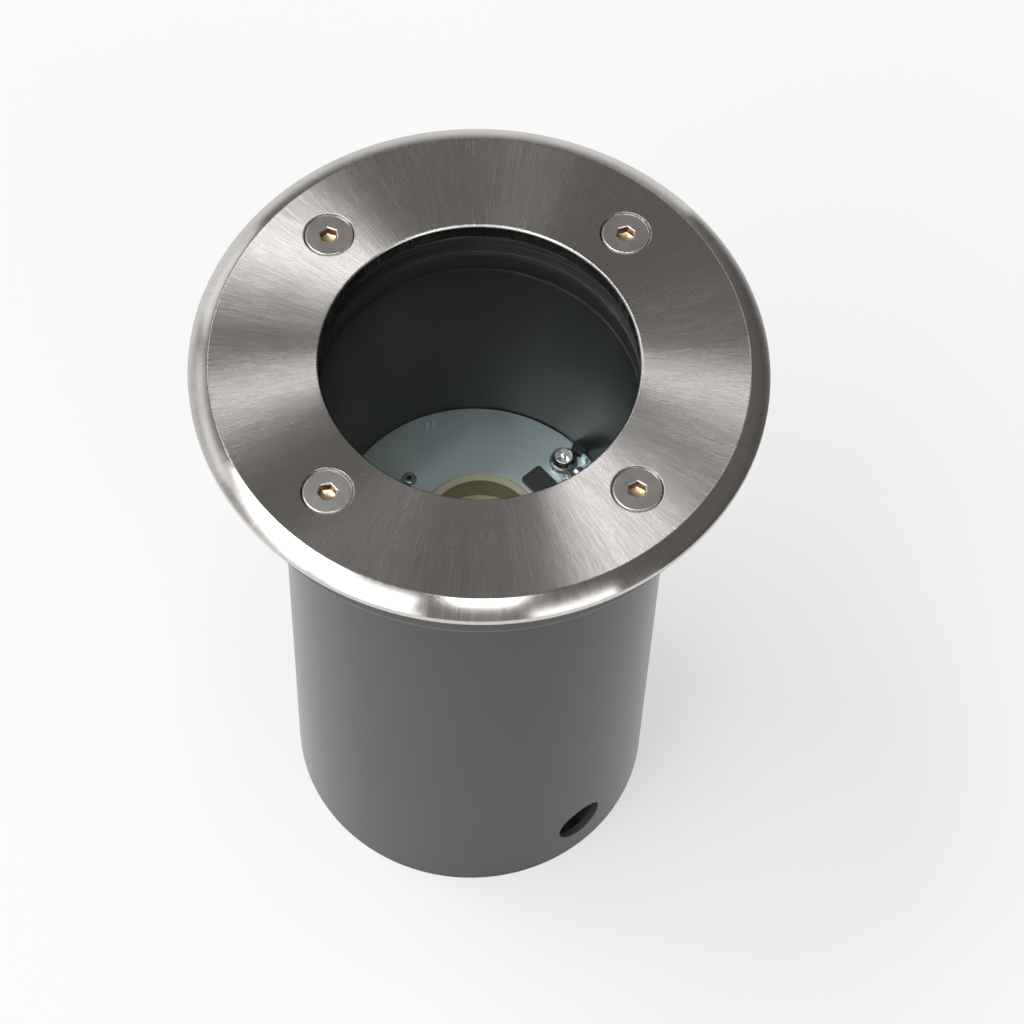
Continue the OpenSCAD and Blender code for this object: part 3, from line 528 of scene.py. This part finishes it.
def screw_thread(top, tip):
    """Closed thread: a zigzag spun once round while it climbs one pitch, trimmed at both ends."""
    weld = 0.002 * MM
    spare_turns = 3
    turns = int((top - tip) / PITCH) + spare_turns
    shape = bmesh.new()
    corners = []
    for i in range(2 * turns + 1):
        height = tip - spare_turns / 2 * PITCH + i * PITCH / 2
        radius = THREAD_ROOT_R if i % 2 else SHANK_R
        corners.append(shape.verts.new((radius, 0, height)))
    line = [shape.edges.new(pair) for pair in zip(corners, corners[1:])]
    bmesh.ops.spin(shape, geom=corners + line, cent=(0, 0, 0), axis=(0, 0, 1),
                   dvec=(0, 0, PITCH / ROUND), angle=2 * math.pi, steps=ROUND, use_merge=False)
    bmesh.ops.remove_doubles(shape, verts=shape.verts, dist=weld)
    for height, side in ((top, 1), (tip, -1)):
        everything = shape.verts[:] + shape.edges[:] + shape.faces[:]
        cut = bmesh.ops.bisect_plane(shape, geom=everything, plane_co=(0, 0, height),
                                     plane_no=(0, 0, side), clear_outer=True)
        rim = [e for e in cut["geom_cut"] if isinstance(e, bmesh.types.BMEdge)]
        bmesh.ops.contextual_create(shape, geom=rim)
    return shape


def cover_screws():
    """The four screws, anticlockwise from the one at the right and behind."""
    corners = ((1, 1), (-1, 1), (-1, -1), (1, -1))
    for number, (across, back) in enumerate(corners, start=1):
        head = screw_head(math.radians(SOCKET_TURNS[number]))
        screw = screw_thread(-SHANK_TOP, -SHANK_TIP)
        screw.from_mesh(head)
        bpy.data.meshes.remove(head)
        place = (across * SCREW_PLACE, back * SCREW_PLACE, HEAD_TOP)
        bmesh.ops.translate(screw, verts=screw.verts, vec=place)
        finish_piece(screw, f"socket_screw_{number}", screw_steel,
                     f"screw_{number}", f"cover_screw_{number}")


# Window

def window_disc():
    """Thick glass disc with its sharp edges taken off, held all round in the gasket."""
    level = 0.001 * MM
    disc = bmesh.new()
    bmesh.ops.create_circle(disc, cap_ends=True, segments=GLASS_SIDES, radius=GLASS_R)
    top = bmesh.ops.extrude_face_region(disc, geom=disc.faces[:])["geom"]
    raise_points(disc, top, GLASS_TOP - GLASS_LOW)
    bmesh.ops.contextual_create(disc, geom=open_edges(disc))
    rims = [e for e in disc.edges if abs(e.verts[1].co.z - e.verts[0].co.z) < level]
    bmesh.ops.bevel(disc, geom=rims, offset=GLASS_ARRIS, affect="EDGES", segments=3,
                    profile=0.5, material=-1)
    bmesh.ops.translate(disc, verts=disc.verts, vec=(0, 0, GLASS_LOW))
    finish_piece(disc, "window_disc", window_glass, "cover", "glass", sharp=12.0)


cover_screws()
window_disc()


# Floor and backdrop, in metres, with the card's ends in degrees round the axis

STAGE_R = 12.0
STAGE_WALL_H = 3.6
STAGE_SIDES = 128
SHADOW_R = 0.1
PALE_R = 0.5
FLOOR_GLOW = 0.6
CARD_R = 2.2
CARD_H = 1.15
CARD_FROM = -38
CARD_TO = 66
CARD_SIDES = 64


def pale_floor():
    """Floor that keeps the shadow near the light, is white further out and dark in the sleeve."""
    made, tree, shader = new_material("studio floor")
    tree.nodes.remove(shader)
    far = vectors(tree, "LENGTH", {0: from_object(tree)}, "Value")
    share = spread(tree, far, SHADOW_R, PALE_R, FLOOR_GLOW, 1.0)
    share = sums(tree, "MULTIPLY", share, sums(tree, "GREATER_THAN", far, SLEEVE_R))
    path = put(tree, "ShaderNodeLightPath").outputs
    seen = sums(tree, "MAXIMUM", path["Is Camera Ray"], path["Is Glossy Ray"])
    seen = sums(tree, "MAXIMUM", seen, path["Is Transmission Ray"])
    matt = put(tree, "ShaderNodeBsdfDiffuse", {"Color": (0.93, 0.93, 0.93)})
    glow = put(tree, "ShaderNodeEmission", {"Color": (1, 1, 1), "Strength": 1.0})
    both = put(tree, "ShaderNodeMixShader", {
        0: sums(tree, "MULTIPLY", share, seen), 1: matt.outputs[0], 2: glow.outputs[0]})
    end_with(tree, both.outputs[0])
    return made


def dark_felt():
    """Dark felt, a little cloudy."""
    made, tree, shader = new_material("card, dark felt")
    skin = use(tree, SKIN, Cloud=3.0)
    felt = tint(tree, skin["Cloud"], (0.05, 0.045, 0.04), (0.07, 0.065, 0.06))
    fill(tree, shader, {"Base Color": felt, "Roughness": 0.9})
    return made


def studio_stage():
    """Round floor under the light with a low wall round it."""
    shape = bmesh.new()
    bmesh.ops.create_circle(shape, cap_ends=True, segments=STAGE_SIDES, radius=STAGE_R)
    grown = bmesh.ops.extrude_edge_only(shape, edges=open_edges(shape))["geom"]
    raise_points(shape, grown, STAGE_WALL_H)
    bmesh.ops.recalc_face_normals(shape, faces=shape.faces)
    mesh = to_mesh(shape, "studio_stage")
    mesh.materials.append(pale_floor())
    to_object(mesh, "studio_stage")


def dark_card():
    """A curved dark card at the right, which only reflections and the glass show."""
    shape = bmesh.new()
    bmesh.ops.create_circle(shape, segments=CARD_SIDES, radius=CARD_R)
    spare = [v for v in shape.verts
             if not CARD_FROM <= math.degrees(math.atan2(v.co.y, v.co.x)) <= CARD_TO]
    bmesh.ops.delete(shape, geom=spare, context="VERTS")
    grown = bmesh.ops.extrude_edge_only(shape, edges=shape.edges[:])["geom"]
    raise_points(shape, grown, CARD_H)
    mesh = to_mesh(shape, "dark_card")
    mesh.materials.append(dark_felt())
    card = to_object(mesh, "dark_card")
    card.visible_camera = False
    card.visible_shadow = False
    card.visible_diffuse = False


studio_stage()
dark_card()


# Camera, placed as the photograph's was

LENS = 118.93
FRAME_WIDTH = 36.0
NEAREST = 0.01
FURTHEST = 60.0
EYE = Vector((-0.013582, -0.342763, 0.690474))
TILT = math.radians(29.984)
HEADING = math.radians(-3.499)
ROLL = math.radians(2.603)

lens = bpy.data.cameras.new("camera")
lens.lens = LENS
lens.sensor_width = FRAME_WIDTH
lens.clip_start = NEAREST
lens.clip_end = FURTHEST
camera = to_object(lens, "camera")
turn = Euler((TILT, 0, HEADING)).to_matrix() @ Matrix.Rotation(ROLL, 3, "Z")
camera.matrix_world = Matrix.Translation(EYE) @ turn.to_4x4()
bpy.context.scene.camera = camera


# Lights

ROOF = 2.15
AIM = (0, 0, 0.15)
WATTS_PER_SQUARE_METRE = 4
ROOM_COLOUR = (0.152, 0.146, 0.138, 1)


def softbox(name, middle, width, height, glow, aim=AIM, turned=0.0):
    """A rectangular softbox that shines from its middle towards aim."""
    lamp = bpy.data.lights.new(name, "AREA")
    lamp.shape = "RECTANGLE"
    lamp.size = width
    lamp.size_y = height
    lamp.energy = glow * WATTS_PER_SQUARE_METRE * width * height
    box = to_object(lamp, name)
    way = Vector(aim) - Vector(middle)
    facing = way.to_track_quat("-Z", "Y").to_matrix() @ Matrix.Rotation(turned, 3, "Z")
    box.matrix_world = Matrix.Translation(middle) @ facing.to_4x4()
    box.visible_camera = False


def roof_softbox(name, across, back, width, length, glow, turned=0.0):
    """A level softbox at ROOF, its middle and its sides given as slopes, turned by degrees."""
    middle = Vector((across, back, 1)) * ROOF
    under = (middle.x, middle.y, 0)
    softbox(name, middle, width * ROOF, length * ROOF, glow, under, math.radians(turned))


roof_softbox("left key", -0.405, 0.155, width=0.32, length=0.35, glow=7.6)
roof_softbox("left fill", -0.72, -0.4, width=0.95, length=0.8, glow=2.7, turned=-20)
roof_softbox("top strip", 0.022, -0.05, width=0.14, length=0.28, glow=7.4)
softbox("front right", (0.86, -1.44, 1.4), width=0.85, height=0.5, glow=3.0)
softbox("left low", (-1.64, 0.70, 1.43), width=1.2, height=0.55, glow=1.2)
softbox("front left", (-1.0, -1.46, 1.36), width=1.0, height=0.4, glow=2.4)
softbox("back left", (-1.15, 1.62, 1.3), width=0.7, height=0.75, glow=1.2)

world = bpy.data.worlds.new("studio")
world.use_nodes = True
room = world.node_tree.nodes["Background"]
room.inputs["Color"].default_value = ROOM_COLOUR
room.inputs["Strength"].default_value = 1.0
bpy.context.scene.world = world
bpy.context.scene.view_settings.view_transform = "Standard"
